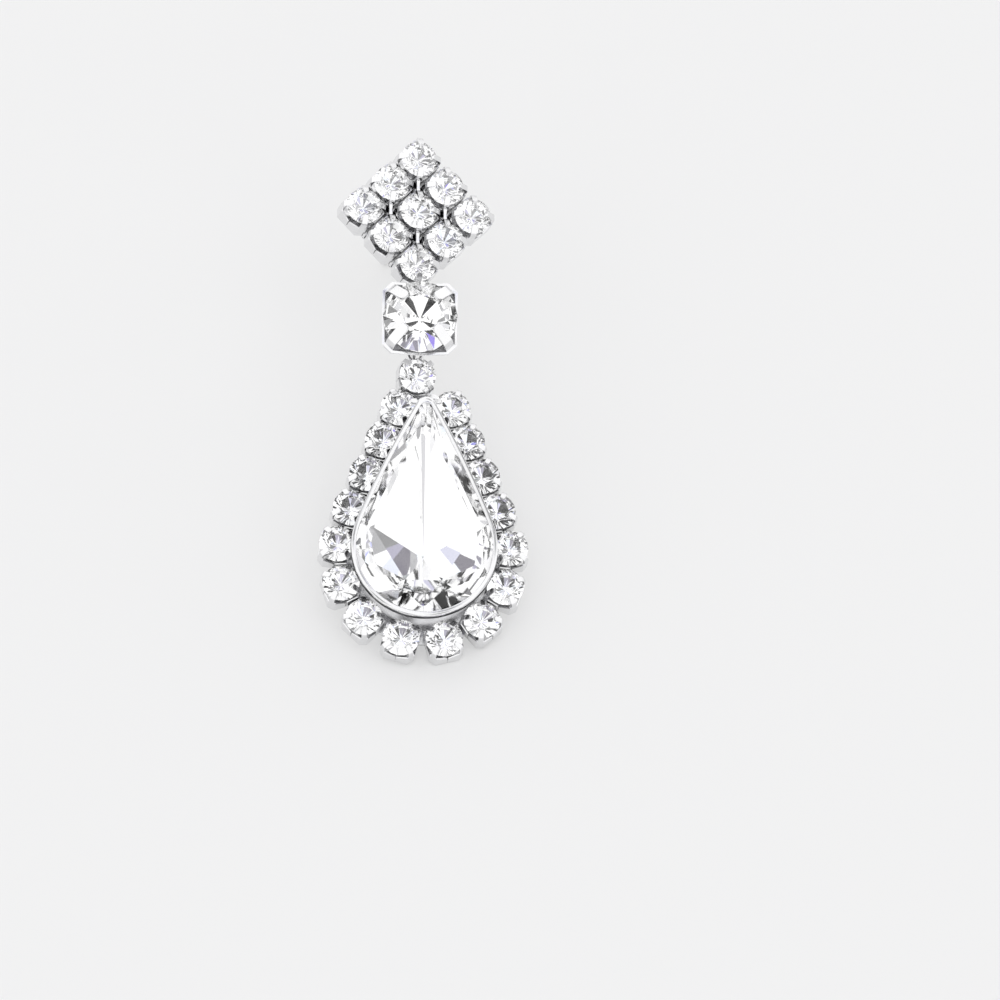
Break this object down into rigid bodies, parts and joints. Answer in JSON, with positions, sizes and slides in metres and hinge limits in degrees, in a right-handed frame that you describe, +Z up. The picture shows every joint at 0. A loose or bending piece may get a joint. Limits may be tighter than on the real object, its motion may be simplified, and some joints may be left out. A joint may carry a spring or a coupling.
{
  "type": "teardrop earring",
  "caption": "Drop stud earring: a square cluster of round stones, a large round stone and a pear stone ringed by a halo of small stones.",
  "frame": {"origin": "middle of the bounding box's base, on the surface the earring lies on", "axes": "+Z up from that surface, +Y along the earring from the pear drop to the cluster, +X to the right as seen from the drop's end"},
  "size_m": [0.0176, 0.0444, 0.0143],
  "materials": {
    "silver_plate": "bright silver-tone plating on soldered cups, wire and post",
    "cut_glass": "clear cut glass with a foiled back",
    "pear_glass": "clear cut glass with a foiled back"
  },
  "bodies": {
    "root": {"cluster_setting": "silver_plate", "large_setting": "silver_plate", "drop_setting": "silver_plate", "upper_link": "silver_plate", "lower_link": "silver_plate", "ear_post": "silver_plate", "top_stone": "cut_glass", "large_stone": "cut_glass", "cluster_stone_1": "cut_glass", "cluster_stone_2": "cut_glass", "cluster_stone_3": "cut_glass", "cluster_stone_4": "cut_glass", "cluster_stone_5": "cut_glass", "cluster_stone_6": "cut_glass", "cluster_stone_7": "cut_glass", "cluster_stone_8": "cut_glass", "cluster_stone_9": "cut_glass", "halo_stone_01": "cut_glass", "halo_stone_02": "cut_glass", "halo_stone_03": "cut_glass", "halo_stone_04": "cut_glass", "halo_stone_05": "cut_glass", "halo_stone_06": "cut_glass", "halo_stone_07": "cut_glass", "halo_stone_08": "cut_glass", "halo_stone_09": "cut_glass", "halo_stone_10": "cut_glass", "halo_stone_11": "cut_glass", "halo_stone_12": "cut_glass", "halo_stone_13": "cut_glass", "halo_stone_14": "cut_glass", "halo_stone_15": "cut_glass", "halo_stone_16": "cut_glass", "pear_stone": "pear_glass"}
  },
  "joints": []
}
